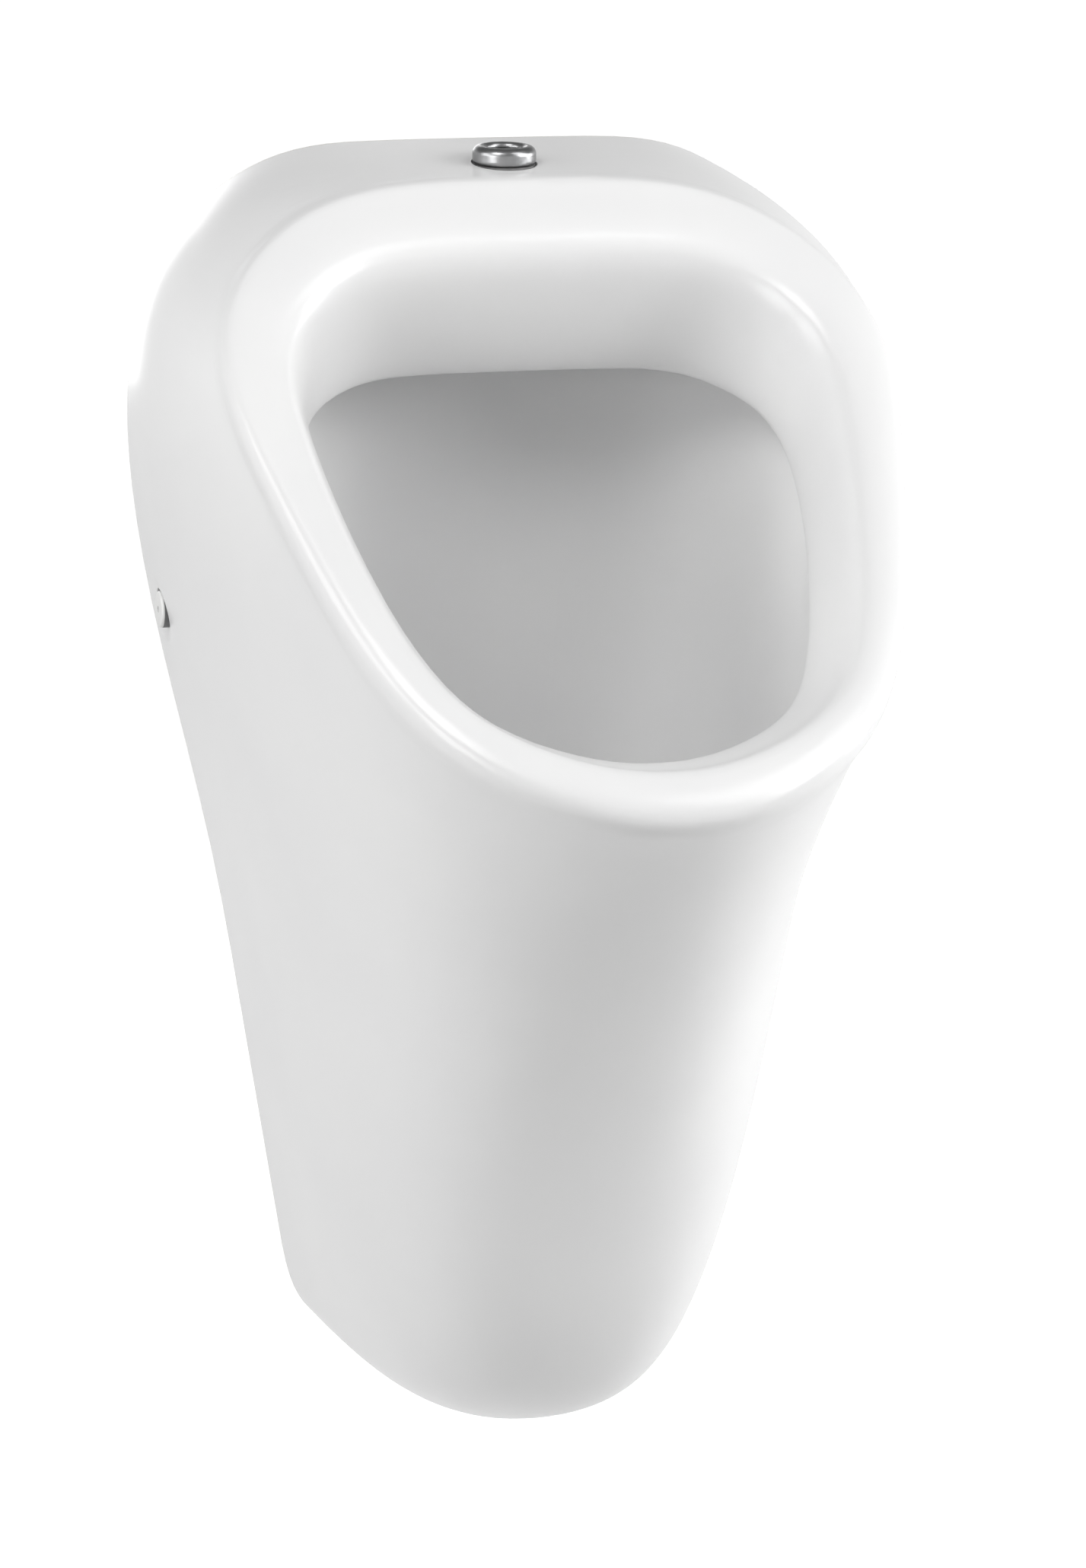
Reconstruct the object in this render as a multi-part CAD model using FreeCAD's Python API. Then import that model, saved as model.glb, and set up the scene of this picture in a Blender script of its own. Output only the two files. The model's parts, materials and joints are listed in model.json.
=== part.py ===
import FreeCAD, Part
import math
import os

from FreeCAD import Vector

os.makedirs("parts", exist_ok=True)

# Wall-hung urinal, in millimetres.
# The wall is the plane Y = 0, the bowl faces -Y and +Z is up. The origin lies on the wall, midway
# between the two wall fixings. Heights are taken from the ceramic's foot, and a distance from the
# wall is called a reach.

# Ceramic, overall
CERAMIC_HEIGHT = 568.0
CERAMIC_WIDTH = 320.0
GLAZED_WALL = 10.0
CUT_OVERRUN = 5.0

# Rim line, from its top at the deck to its lowest point at the front
RIM_TOP_DROP = 20.0
RIM_FRONT_HEIGHT = 362.0
RIM_TOP_REACH = 81.0
RIM_FRONT_REACH = 329.0
RIM_SAG = 6.0
RIM_BAND = 36.0
RIM_APRON = 13.0
DECK_FALL = 6.0

# Inner lip, square to the rim line: how far in and how deep
LIP_TOP_INSET = 42.0
LIP_SIDE_INSET = 28.0
LIP_FRONT_INSET = 28.0
LIP_TOP_DEPTH = 63.0
LIP_SIDE_DEPTH = 42.0
LIP_FRONT_DEPTH = 19.0

# Body below the rim: the foot's reach and height, and how far the corners of its rings are lifted
SOLE_REACH = 102.0
SOLE_HEIGHT = -13.0
SOLE_LIFT = 100.0
TOE_GAP = 53.0
TOE_HEIGHT = 13.0
TOE_LIFT = 100.0
SHIN_LIFT = 60.0
CHEST_LIFT = 40.0
FLANK_BULGE = 9.0

# Bowl inside: reach of its back, how far its back starts below the top, its floor and its drain
BACK_TOP_REACH = 26.0
BACK_TOP_DROP = 12.0
BACK_MID_REACH = 26.0
BACK_LOW_REACH = 32.0
TRAP_FOOT_GAP = 28.5
BOWL_FLOOR_RISE = 6.0
BOWL_FLOOR_RADIUS = 52.0
DRAIN_REACH = 102.0
DRAIN_RING_RADIUS = 38.0

# Hollow between the bowl and the shroud
RIM_BACKING = 60.0
RIM_BACKING_INSET = 8.0

# Side fixings: a screw through each flank into a bracket on the wall
FIXING_HEIGHT = 364.0
FIXING_REACH = 22.0
FIXING_SEAT_DEPTH = 2.6
FIXING_SEAT_RADIUS = 9.6
FIXING_DISH_RADIUS = 130.0
FIXING_DISH_DEPTH = 1.0
FLANK_HOLE_RADIUS = 6.5
SCREW_RADIUS = 3.0
SCREW_HEAD_RADIUS = 5.6
SCREW_HEAD_HEIGHT = 1.8
SCREW_SOCKET_FLATS = 4.0
SCREW_SOCKET_DEPTH = 1.3
SCREW_TIP_LENGTH = 3.0
CAP_RADIUS = 8.25
CAP_HEIGHT = 1.4
CAP_ROUND = 1.1
CAP_SKIRT = 0.8
CAP_DIMPLE_RADIUS = 1.5
SIDE_WASHER_THICKNESS = 1.0
BUSH_FLANGE_RADIUS = 9.0
BUSH_FLANGE_THICKNESS = 1.5
BRACKET_GAP = 9.0
BRACKET_PLATE = 3.5
BRACKET_HEIGHT = 48.0
BRACKET_LEG_REACH = 38.0
BRACKET_EDGE_MARGIN = 13.0
BRACKET_CORNER = 6.0
BRACKET_BEND = 3.0
WALL_HOLE_RADIUS = 4.5
WALL_HOLE_INSET = 15.6
SQUARE_NUT_SIDE = 10.0
SQUARE_NUT_THICKNESS = 5.0

# Water inlet on the deck
INLET_REACH = 45.0
INLET_HOLE_RADIUS = 11.4
INLET_DECK_WALL = 12.0
INLET_PAD_RADIUS = 18.5
INLET_PAD_DEPTH = 26.0
COLLAR_RADIUS = 14.0
COLLAR_HEIGHT = 8.2
COLLAR_ROUND = 3.4
COLLAR_FOOT_ROUND = 2.4
COLLAR_MOUTH_ROUND = 2.0
STEM_RADIUS = 10.4
STEM_LENGTH = 36.0
PIPE_BORE_RADIUS = 8.2
PIPE_BORE_LENGTH = 16.0
STEM_BORE_RADIUS = 7.0
INLET_WASHER_THICKNESS = 1.2
INLET_SEAT_MARGIN = 0.6
INLET_SEAT_DEPTH = 0.4
INLET_WASHER_INSET = 0.5
INLET_LOWER_WASHER_THICKNESS = 2.0
INLET_LOWER_WASHER_RADIUS = 15.5
INLET_NUT_FLATS = 27.0
INLET_NUT_HEIGHT = 8.0
SPREADER_RADIUS = 13.0
SPREADER_HEIGHT = 20.0
SPREADER_WALL = 2.0
SPREADER_ROUND = 3.0
SPREADER_GRIP = 8.0
SPREADER_SLOT_WIDTH = 3.0
SPREADER_SLOT_HEIGHT = 5.0
SPREADER_CLEARANCE = 1.5
SPREADER_SLOTS = 8

# Waste in the bowl's floor
FLOOR_WALL = 16.0
WASTE_HOLE_RADIUS = 23.0
WASTE_FLANGE_RADIUS = 31.0
WASTE_FLANGE_THICKNESS = 3.0
WASTE_FLANGE_ROUND = 1.0
WASTE_UPPER_SEAL = 1.5
WASTE_RECESS_CLEARANCE = 0.6
WASTE_TAIL_RADIUS = 22.0
WASTE_BORE_RADIUS = 19.0
WASTE_TAIL_LENGTH = 51.0
WASTE_LOWER_SEAL = 3.0
WASTE_LOWER_SEAL_RADIUS = 30.0
WASTE_NUT_FLATS = 58.0
WASTE_NUT_HEIGHT = 10.0
STRAINER_RADIUS = 24.0
STRAINER_THICKNESS = 1.8
STRAINER_HOLE_RADIUS = 2.2
STRAINER_RING_STEP = 6.6
STRAINER_RINGS = 2
STRAINER_HOLES_IN_FIRST_RING = 6
STRAINER_SKIRT = 7.0
STRAINER_SKIRT_WALL = 1.4
STRAINER_KNOB_RADIUS = 3.4
STRAINER_KNOB_HEIGHT = 5.0
STRAINER_KNOB_ROUND = 1.4

# Bottle trap under the waste
UNION_SEAL = 2.0
DIP_FLANGE = 1.5
DIP_RADIUS = 15.6
DIP_WALL = 1.6
DIP_FLOOR_GAP = 17.0
NECK_COLLAR_RADIUS = 21.6
NECK_COLLAR_THICKNESS = 4.0
NECK_RADIUS = 19.5
NECK_LENGTH = 17.0
UNION_NUT_FLATS = 56.0
UNION_NUT_SHOULDER = 4.0
UNION_NUT_GRIP = 14.0
BOTTLE_RADIUS = 35.0
BOTTLE_WALL = 3.0
BOTTLE_HEIGHT = 62.0
BOTTLE_TOP_ROUND = 6.0
CUP_WALL = 3.2
CUP_DEPTH = 20.0
CUP_GRIP = 11.0
CUP_FLOOR = 3.0
CUP_ROUND = 4.0
CUP_RIBS = 12
CUP_RIB_RADIUS = 2.0
CUP_SEAL = 2.0
OUTLET_DROP = 25.0
OUTLET_STUB_RADIUS = 19.8
OUTLET_STUB_LENGTH = 19.0
OUTLET_STUB_BORE_RADIUS = 13.6
OUTLET_SOCKET_DEPTH = 14.0
PIPE_RADIUS = 16.0
PIPE_WALL = 1.8
OUTLET_NUT_FLATS = 46.0
OUTLET_NUT_GRIP = 12.0
OUTLET_NUT_END = 3.4
CONE_SEAL_LENGTH = 7.0
CONE_SEAL_THICKNESS = 3.2
CONE_SEAL_SHARE = 0.45

# Clearances
THREAD_CLEARANCE = 0.4
RUNNING_CLEARANCE = 0.06
FIT_CLEARANCE = 0.3
SAME_PLACE = 0.0001

# The ceramic's surface is a net of rings. Each ring has eleven columns from the middle of the top,
# down the right side, to the middle of the bottom; the left side mirrors them.
OUTLINE_WIDTH_SHARES = (0, 0.315, 0.605, 0.925, 1.03, 0.925, 0.755, 0.655, 0.55, 0.5, 0)
OUTLINE_HEIGHT_SHARES = (1, 1, 0.997, 0.93, 0.80, 0.62, 0.445, 0.27, 0.10, 0.005, 0)
RIM_WIDTH_SHARES = (0, 0.31, 0.57, 0.80, 0.86, 0.80, 0.73, 0.64, 0.495, 0.22, 0)
RIM_FALL_SHARES = (0, 0, 0.03, 0.15, 0.30, 0.48, 0.64, 0.79, 0.91, 0.985, 1)
TOE_BLEND_SHARES = (0, 0, 0, 0, 0, 0, 0.05, 0.25, 0.65, 0.95, 1)
TOE_WIDTH_SHARES = (0, 0, 0, 0, 0, 0, 1.3, 1.2, 1, 1, 0)
TOE_REACH_SHARES = (0, 0, 0, 0, 0, 0, 0.7, 0.8, 0.92, 0.99, 1)
TOE_LIFT_SHARES = (0, 0, 0, 0, 0, 0, 1.4, 1, 0.45, 0.08, 0)
HOLLOW_REACH_SHARES = (0.22, 0.22, 0.24, 0.4, 0.8, 1, 1, 1, 1, 1, 1)
LAST_COLUMN = len(RIM_FALL_SHARES) - 1

# Where the four body rings stand between the wall and the neck, and their width next to the middle
SOLE_FLANK_SHARE = 0.25
SOLE_CORNER_SHARE = 0.77
TOE_FLANK_SHARE = 0.5
TOE_CORNER_SHARE = 0.565
SHIN_FLANK_SHARE = 0.72
SHIN_CORNER_SHARE = 0.61
CHEST_FLANK_SHARE = 0.88
CHEST_CORNER_SHARE = 0.495
THROAT_SHARE = 0.7
APRON_POWER = 12

# Half widths of the body's and the bowl's rings, as shares of the ceramic's half width
SOLE_HALF_WIDTH_SHARE = 0.505
TOE_HALF_WIDTH_SHARE = 0.56
SHIN_HALF_WIDTH_SHARE = 0.4125
CHEST_HALF_WIDTH_SHARE = 0.475
BACK_TOP_HALF_WIDTH_SHARE = 0.7
BACK_MID_HALF_WIDTH_SHARE = 0.65
BACK_LOW_HALF_WIDTH_SHARE = 0.5

# Where the shin and the chest stand on the way from the toe to the rim's front
SHIN_REACH_SHARE = 0.18
SHIN_HEIGHT_SHARE = 0.393
CHEST_REACH_SHARE = 0.561
CHEST_HEIGHT_SHARE = 0.722

# Where the bowl's rings stand: their fronts on the way from the floor's edge to the rim's front, and
# their backs on the way from the floor to the top
BACK_TOP_FRONT_REACH_SHARE = 0.343
BACK_TOP_FRONT_RISE_SHARE = 0.226
BACK_MID_FRONT_REACH_SHARE = 0.171
BACK_MID_FRONT_RISE_SHARE = 0.095
BACK_MID_RISE_SHARE = 0.631
BACK_LOW_FRONT_REACH_SHARE = 0.023
BACK_LOW_FRONT_RISE_SHARE = 0.054
BACK_LOW_RISE_SHARE = 0.257
HOLLOW_BACK_RISE_SHARE = 0.751

# Rim section as shares of the band's width, at the top, the side and the front
NECK_OUT_SHARES = (0.62, 0.16, 0.20)
NECK_RISE_SHARES = (0, -0.52, -0.58)
EDGE_OUT_SHARES = (0.40, 0.31, 0.33)
EDGE_RISE_SHARES = (0.14, -0.22, -0.28)
CREST_OUT_SHARES = (0.22, 0.23, 0.25)
CREST_RISE_SHARES = (0.11, 0.08, 0.05)
SHOULDER_OUT_SHARES = (-0.48, -0.26, -0.11)
SHOULDER_RISE_SHARES = (0.13, 0.10, 0.07)
INNER_OUT_SHARES = (-0.78, -0.48, -0.18)
INNER_RISE_SHARES = (-0.09, -0.15, -0.22)
CHAMBER_OUT_SHARES = (-0.36, -0.50, -0.56)
CHAMBER_RISE_SHARES = (-0.33, -1.72, -2.0)
CEILING_OUT_SHARES = (0.30, -0.47, -0.72)
CEILING_RISE_SHARES = (-0.30, -2.15, -2.8)
LIP_BACK_OUT_SHARES = (1.05, 0.9, 0.6)
LIP_BACK_DEPTH_SHARES = (0.35, 0.7, 2.6)

half_width = CERAMIC_WIDTH / 2

# Waste and trap are made about Z with the bowl's floor at zero. These are their levels, downwards.
waste_recess_depth = WASTE_FLANGE_THICKNESS + WASTE_UPPER_SEAL
recess_floor = -waste_recess_depth
floor_under = -FLOOR_WALL
waste_nut_top = floor_under - WASTE_LOWER_SEAL
tail_end = -WASTE_FLANGE_THICKNESS - WASTE_TAIL_LENGTH
dip_top = tail_end - UNION_SEAL
collar_top = dip_top - DIP_FLANGE
collar_low = collar_top - NECK_COLLAR_THICKNESS
bottle_top = collar_low - NECK_LENGTH
bottle_low = bottle_top - BOTTLE_HEIGHT
cup_ledge = bottle_low - CUP_SEAL
cup_top = bottle_low + CUP_GRIP
cup_floor = cup_ledge - CUP_DEPTH
cup_low = cup_floor - CUP_FLOOR
outlet_level = bottle_top - OUTLET_DROP
stub_end = BOTTLE_RADIUS + OUTLET_STUB_LENGTH
bottle_inside = BOTTLE_RADIUS - BOTTLE_WALL

# The bowl's floor lies as high as the trap needs, and the bowl's rings stand between it and the rim
bowl_floor_height = TRAP_FOOT_GAP - cup_low
floor_front_reach = DRAIN_REACH + BOWL_FLOOR_RADIUS
floor_to_rim_reach = RIM_FRONT_REACH - floor_front_reach
floor_to_rim_rise = RIM_FRONT_HEIGHT - bowl_floor_height
floor_to_top_rise = CERAMIC_HEIGHT - bowl_floor_height
toe_reach = DRAIN_REACH + BOTTLE_RADIUS + TOE_GAP
toe_to_rim_reach = RIM_FRONT_REACH - toe_reach
toe_to_rim_rise = RIM_FRONT_HEIGHT - TOE_HEIGHT


def at(x, reach, height):
    return Vector(x, -reach, height - FIXING_HEIGHT)


def blend(values, share):
    """Value between top, side and front for a share of the way down the rim."""
    top, side, front = values
    if share < 0.5:
        return top + (side - top) * share * 2
    return side + (front - side) * (share * 2 - 1)


def scaled(shares, size):
    return tuple(share * size for share in shares)


def minus(values):
    return tuple(-value for value in values)


def full_ring(half):
    """Whole ring of points from its right half, top to bottom."""
    left = [Vector(-p.x, p.y, p.z) for p in half[LAST_COLUMN - 1:0:-1]]
    return list(half) + left


# Rim line and the directions across it
rim_top_height = CERAMIC_HEIGHT - RIM_TOP_DROP
rim_fall = rim_top_height - RIM_FRONT_HEIGHT
rim_run = RIM_FRONT_REACH - RIM_TOP_REACH
rim_slant = math.hypot(rim_run, rim_fall)
rim_normal = Vector(0, -rim_fall / rim_slant, rim_run / rim_slant)


def rim_point(i):
    share = RIM_FALL_SHARES[i]
    reach = RIM_TOP_REACH + rim_run * share - RIM_SAG * 4 * share * (1 - share)
    return at(half_width * RIM_WIDTH_SHARES[i], reach, rim_top_height - rim_fall * share)


rim_line = [rim_point(i) for i in range(LAST_COLUMN + 1)]
rim_middle = (rim_line[0] + rim_line[LAST_COLUMN]) / 2


def outward(ring, i, normal, middle):
    """Direction in the ring's plane that points away from its middle."""
    count = len(ring)
    along = ring[(i + 1) % count] - ring[(i - 1) % count]
    side = along.cross(normal)
    side.normalize()
    if side.dot(ring[i] - middle) < 0:
        side = side * -1
    return side


whole_rim = full_ring(rim_line)
rim_outward = [outward(whole_rim, i, rim_normal, rim_middle) for i in range(LAST_COLUMN + 1)]


def rim_ring(outs, rises, apron=0):
    """Half ring at offsets from the rim line, given at its top, side and front. An apron goes further out
    at the front alone."""
    ring = []
    for i, point in enumerate(rim_line):
        share = RIM_FALL_SHARES[i]
        out = blend(outs, share) + apron * share ** APRON_POWER
        ring.append(point + rim_outward[i] * out + rim_normal * blend(rises, share))
    return ring


def tilted_ring(back_reach, back_height, front_reach, front_height, ring_half_width):
    """Half ring in a slanting plane, with the rim line's own shape."""
    widest = max(RIM_WIDTH_SHARES)
    ring = []
    for width, fall in zip(RIM_WIDTH_SHARES, RIM_FALL_SHARES):
        reach = back_reach + (front_reach - back_reach) * fall
        height = back_height + (front_height - back_height) * fall
        ring.append(at(ring_half_width * width / widest, reach, height))
    return ring


def round_ring(radius, height):
    """Half ring round the drain, with its columns at even angles."""
    ring = []
    for i in range(LAST_COLUMN + 1):
        angle = math.pi * i / LAST_COLUMN
        ring.append(at(radius * math.sin(angle), DRAIN_REACH - radius * math.cos(angle), height))
    return ring


def wall_ring():
    return [at(half_width * width, 0, CERAMIC_HEIGHT * height)
            for width, height in zip(OUTLINE_WIDTH_SHARES, OUTLINE_HEIGHT_SHARES)]


def neck_ring():
    """Ring where the flank meets the rim; at the top it is the deck's front edge."""
    outs = scaled(NECK_OUT_SHARES, RIM_BAND)
    rises = list(scaled(NECK_RISE_SHARES, RIM_BAND))
    deck_edge = CERAMIC_HEIGHT - DECK_FALL - FIXING_HEIGHT
    rises[0] = (deck_edge - rim_line[0].z - outs[0] * rim_outward[0].z) / rim_normal.z
    return rim_ring(outs, rises, RIM_APRON), rises[0]


def body_ring(wall, neck, flank_share, reach, height, corner_half_width, corner_share, lift):
    """Half ring on the shroud: straight from wall to neck at the sides, rounded under the toe."""
    ring = []
    for i in range(LAST_COLUMN + 1):
        side = wall[i] + (neck[i] - wall[i]) * flank_share
        side.x += FLANK_BULGE * OUTLINE_WIDTH_SHARES[i] * 4 * flank_share * (1 - flank_share)
        width = corner_half_width * TOE_WIDTH_SHARES[i]
        if i == LAST_COLUMN - 1:
            width = width * corner_share
        toe = at(width, reach * TOE_REACH_SHARES[i], height + lift * TOE_LIFT_SHARES[i])
        ring.append(side * (1 - TOE_BLEND_SHARES[i]) + toe * TOE_BLEND_SHARES[i])
    return ring


def shroud_rings():
    wall = wall_ring()
    neck, neck_top_rise = neck_ring()
    shin_reach = toe_reach + toe_to_rim_reach * SHIN_REACH_SHARE
    shin_height = TOE_HEIGHT + toe_to_rim_rise * SHIN_HEIGHT_SHARE
    chest_reach = toe_reach + toe_to_rim_reach * CHEST_REACH_SHARE
    chest_height = TOE_HEIGHT + toe_to_rim_rise * CHEST_HEIGHT_SHARE
    sole = body_ring(wall, neck, SOLE_FLANK_SHARE, SOLE_REACH, SOLE_HEIGHT,
                     half_width * SOLE_HALF_WIDTH_SHARE, SOLE_CORNER_SHARE, SOLE_LIFT)
    toe = body_ring(wall, neck, TOE_FLANK_SHARE, toe_reach, TOE_HEIGHT,
                    half_width * TOE_HALF_WIDTH_SHARE, TOE_CORNER_SHARE, TOE_LIFT)
    shin = body_ring(wall, neck, SHIN_FLANK_SHARE, shin_reach, shin_height,
                     half_width * SHIN_HALF_WIDTH_SHARE, SHIN_CORNER_SHARE, SHIN_LIFT)
    chest = body_ring(wall, neck, CHEST_FLANK_SHARE, chest_reach, chest_height,
                      half_width * CHEST_HALF_WIDTH_SHARE, CHEST_CORNER_SHARE, CHEST_LIFT)
    throat = [low + (high - low) * THROAT_SHARE for low, high in zip(chest, neck)]
    return [wall, sole, toe, shin, chest, throat, neck], neck_top_rise


def rim_rings(neck_top_rise):
    edge_rises = list(scaled(EDGE_RISE_SHARES, RIM_BAND))
    edge_rises[0] += neck_top_rise
    edge = rim_ring(scaled(EDGE_OUT_SHARES, RIM_BAND), edge_rises, RIM_APRON)
    crest = rim_ring(scaled(CREST_OUT_SHARES, RIM_BAND), scaled(CREST_RISE_SHARES, RIM_BAND), RIM_APRON)
    shoulder = rim_ring(scaled(SHOULDER_OUT_SHARES, RIM_BAND), scaled(SHOULDER_RISE_SHARES, RIM_BAND))
    inner = rim_ring(scaled(INNER_OUT_SHARES, RIM_BAND), scaled(INNER_RISE_SHARES, RIM_BAND))
    insets = (LIP_TOP_INSET, LIP_SIDE_INSET, LIP_FRONT_INSET)
    depths = (LIP_TOP_DEPTH, LIP_SIDE_DEPTH, LIP_FRONT_DEPTH)
    lip = rim_ring(minus(insets), minus(depths))
    back_outs = scaled(LIP_BACK_OUT_SHARES, GLAZED_WALL)
    back_depths = scaled(LIP_BACK_DEPTH_SHARES, GLAZED_WALL)
    lip_back = rim_ring([out - inset for out, inset in zip(back_outs, insets)],
                        [-depth - more for depth, more in zip(depths, back_depths)])
    return [edge, crest, shoulder, inner, lip, lip_back]


def front_reach(share):
    return floor_front_reach + floor_to_rim_reach * share


def front_height(share):
    return bowl_floor_height + floor_to_rim_rise * share


def back_height(share):
    return bowl_floor_height + floor_to_top_rise * share


def bowl_rings():
    chamber = rim_ring(scaled(CHAMBER_OUT_SHARES, RIM_BAND), scaled(CHAMBER_RISE_SHARES, RIM_BAND))
    ceiling = rim_ring(scaled(CEILING_OUT_SHARES, RIM_BAND), scaled(CEILING_RISE_SHARES, RIM_BAND))
    back_top = tilted_ring(BACK_TOP_REACH, CERAMIC_HEIGHT - BACK_TOP_DROP,
                           front_reach(BACK_TOP_FRONT_REACH_SHARE), front_height(BACK_TOP_FRONT_RISE_SHARE),
                           half_width * BACK_TOP_HALF_WIDTH_SHARE)
    back_mid = tilted_ring(BACK_MID_REACH, back_height(BACK_MID_RISE_SHARE),
                           front_reach(BACK_MID_FRONT_REACH_SHARE), front_height(BACK_MID_FRONT_RISE_SHARE),
                           half_width * BACK_MID_HALF_WIDTH_SHARE)
    back_low = tilted_ring(BACK_LOW_REACH, back_height(BACK_LOW_RISE_SHARE),
                           front_reach(BACK_LOW_FRONT_REACH_SHARE), front_height(BACK_LOW_FRONT_RISE_SHARE),
                           half_width * BACK_LOW_HALF_WIDTH_SHARE)
    floor = round_ring(BOWL_FLOOR_RADIUS, bowl_floor_height + BOWL_FLOOR_RISE)
    drain = round_ring(DRAIN_RING_RADIUS, bowl_floor_height)
    return [chamber, ceiling, back_top, back_mid, back_low, floor, drain]


def net_normal(rings, k, i):
    """Direction square to the net at ring k, column i, away from the ceramic's inside."""
    ring = rings[k]
    around = ring[(i + 1) % len(ring)] - ring[(i - 1) % len(ring)]
    before = rings[max(k - 1, 0)][i]
    after = rings[min(k + 1, len(rings) - 1)][i]
    normal = around.cross(after - before)
    normal.normalize()
    return normal


def inset_ring(rings, k, distance):
    """Half ring moved into the wall by a distance."""
    return [rings[k][i] + net_normal(rings, k, i) * distance for i in range(LAST_COLUMN + 1)]


def hollow_rings(shroud, bowl):
    """Rings of the hollow between shroud and bowl, open at the wall."""
    whole_shroud = [full_ring(ring) for ring in shroud]
    whole_bowl = [full_ring(ring) for ring in bowl]
    wall = whole_shroud[0]
    wall_middle = (wall[0] + wall[LAST_COLUMN]) / 2
    to_wall = Vector(0, 1, 0)
    mouth = []
    for i in range(LAST_COLUMN + 1):
        inward = outward(wall, i, to_wall, wall_middle) * -GLAZED_WALL
        mouth.append(wall[i] + inward + to_wall * CUT_OVERRUN)
    rings = [mouth]
    for k in range(1, len(shroud) - 1):
        rings.append(inset_ring(whole_shroud, k, GLAZED_WALL))
    backing = (-RIM_BACKING, -RIM_BACKING, -RIM_BACKING)
    backing_inset = (-RIM_BACKING_INSET, -RIM_BACKING_INSET, -RIM_BACKING_INSET)
    rings.append(rim_ring(backing_inset, backing))
    for ring in rings[1:]:
        for i, point in enumerate(ring):
            point.y = point.y * HOLLOW_REACH_SHARES[i]
    rings.append(tilted_ring(BACK_TOP_REACH - GLAZED_WALL, back_height(HOLLOW_BACK_RISE_SHARE),
                             front_reach(BACK_TOP_FRONT_REACH_SHARE) + GLAZED_WALL,
                             front_height(BACK_TOP_FRONT_RISE_SHARE) - GLAZED_WALL,
                             half_width * BACK_TOP_HALF_WIDTH_SHARE + GLAZED_WALL))
    first_hidden = len(bowl) - 4
    for k in range(first_hidden, len(bowl) - 1):
        rings.append(inset_ring(whole_bowl, k, GLAZED_WALL))
    rings.append(round_ring(DRAIN_RING_RADIUS, bowl_floor_height - FLOOR_WALL))
    return rings


def skin_solid(rings):
    """Closed solid: a smooth skin through the net of rings, with a flat cap on its first and last ring."""
    whole = [full_ring(ring) for ring in rings]
    columns = len(whole[0])
    poles = [[ring[i] for ring in whole] for i in range(columns)]
    around_knots = list(range(columns + 1))
    across_knots = list(range(len(rings) - 2))
    across_counts = [4] + [1] * (len(across_knots) - 2) + [4]
    surface = Part.BSplineSurface()
    surface.buildFromPolesMultsKnots(poles, [1] * len(around_knots), across_counts,
                                     around_knots, across_knots, True, False, 3, 3)
    skin = surface.toShape()
    ends = [edge for edge in skin.Edges if edge.isClosed() and len(edge.Vertexes) == 1]
    caps = [Part.Face(Part.Wire([edge])) for edge in ends]
    shell = Part.makeShell([skin] + caps)
    shell.sewShape()
    solid = Part.Solid(shell)
    if solid.Volume < 0:
        solid.reverse()
    return solid


def turned(outline):
    """Solid of revolution about Z from (radius, height) points."""
    points = [Vector(radius, 0, height) for radius, height in outline]
    wire = Part.makePolygon(points + points[:1])
    return Part.Face(wire).revolve(Vector(0, 0, 0), Vector(0, 0, 1), 360)


def tube(outer, inner, low, high):
    return turned([(inner, low), (outer, low), (outer, high), (inner, high)])


def rod(radius, low, high):
    return Part.makeCylinder(radius, high - low, Vector(0, 0, low))


def hexagon(flats, low, high):
    """Hexagonal bar about Z, with its height from low to high."""
    corner = flats / 2 / math.cos(math.pi / 6)
    points = [Vector(corner * math.cos(math.pi * k / 3), corner * math.sin(math.pi * k / 3), low)
              for k in range(7)]
    return Part.Face(Part.makePolygon(points)).extrude(Vector(0, 0, high - low))


def chamfered_hexagon(flats, low, high):
    """Hexagonal bar whose corners are turned off at both ends."""
    corner = flats / 2 / math.cos(math.pi / 6)
    cut = corner - flats / 2
    round_bar = turned([(0, low), (flats / 2, low), (corner, low + cut), (corner, high - cut),
                        (flats / 2, high), (0, high)])
    return hexagon(flats, low, high).common(round_bar)


def round_edges(shape, radius, wanted):
    return shape.makeFillet(radius, [edge for edge in shape.Edges if wanted(edge)])


def is_near(value, wanted):
    return abs(value - wanted) < SAME_PLACE


def is_circle(edge, radius, height):
    """True for a whole circle about Z of this radius at this height."""
    curve = edge.Curve
    if not isinstance(curve, Part.Circle):
        return False
    return is_near(curve.Radius, radius) and is_near(curve.Center.z, height)


def moved(shape, place):
    copy = shape.copy()
    copy.translate(place)
    return copy


def along_x(shape, place):
    """Shape made about Z, turned so that its +Z points along +X, then moved."""
    copy = shape.copy()
    copy.rotate(Vector(0, 0, 0), Vector(0, 1, 0), 90)
    copy.translate(place)
    return copy


def along_y(shape, place):
    """Shape made about Z, turned so that its +Z points along +Y, then moved."""
    copy = shape.copy()
    copy.rotate(Vector(0, 0, 0), Vector(1, 0, 0), -90)
    copy.translate(place)
    return copy


def mirrored(shape):
    return shape.mirror(Vector(0, 0, 0), Vector(1, 0, 0))


def save(name, shape):
    shape.exportStep("parts/" + name + ".step")
    print(name, "valid" if shape.isValid() else "NOT VALID", len(shape.Solids))


def save_pair(name, right_shape):
    save(name + "_right", right_shape)
    save(name + "_left", mirrored(right_shape))


# Ceramic skin and the places that the fittings take from it
shroud, neck_top_rise = shroud_rings()
rim = rim_rings(neck_top_rise)
bowl = bowl_rings()
ceramic_skin = skin_solid(shroud + rim + bowl)
hollow = skin_solid(hollow_rings(shroud, rim[-2:] + bowl))


def skin_reach_of(start, end):
    """Box of the stretch of a straight line that lies in the ceramic."""
    return ceramic_skin.common(Part.makeLine(start, end)).BoundBox


def flank_at(height):
    """How far out the flank lies at the side fixing's reach."""
    return skin_reach_of(at(0, FIXING_REACH, height), at(CERAMIC_WIDTH, FIXING_REACH, height)).XMax


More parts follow.
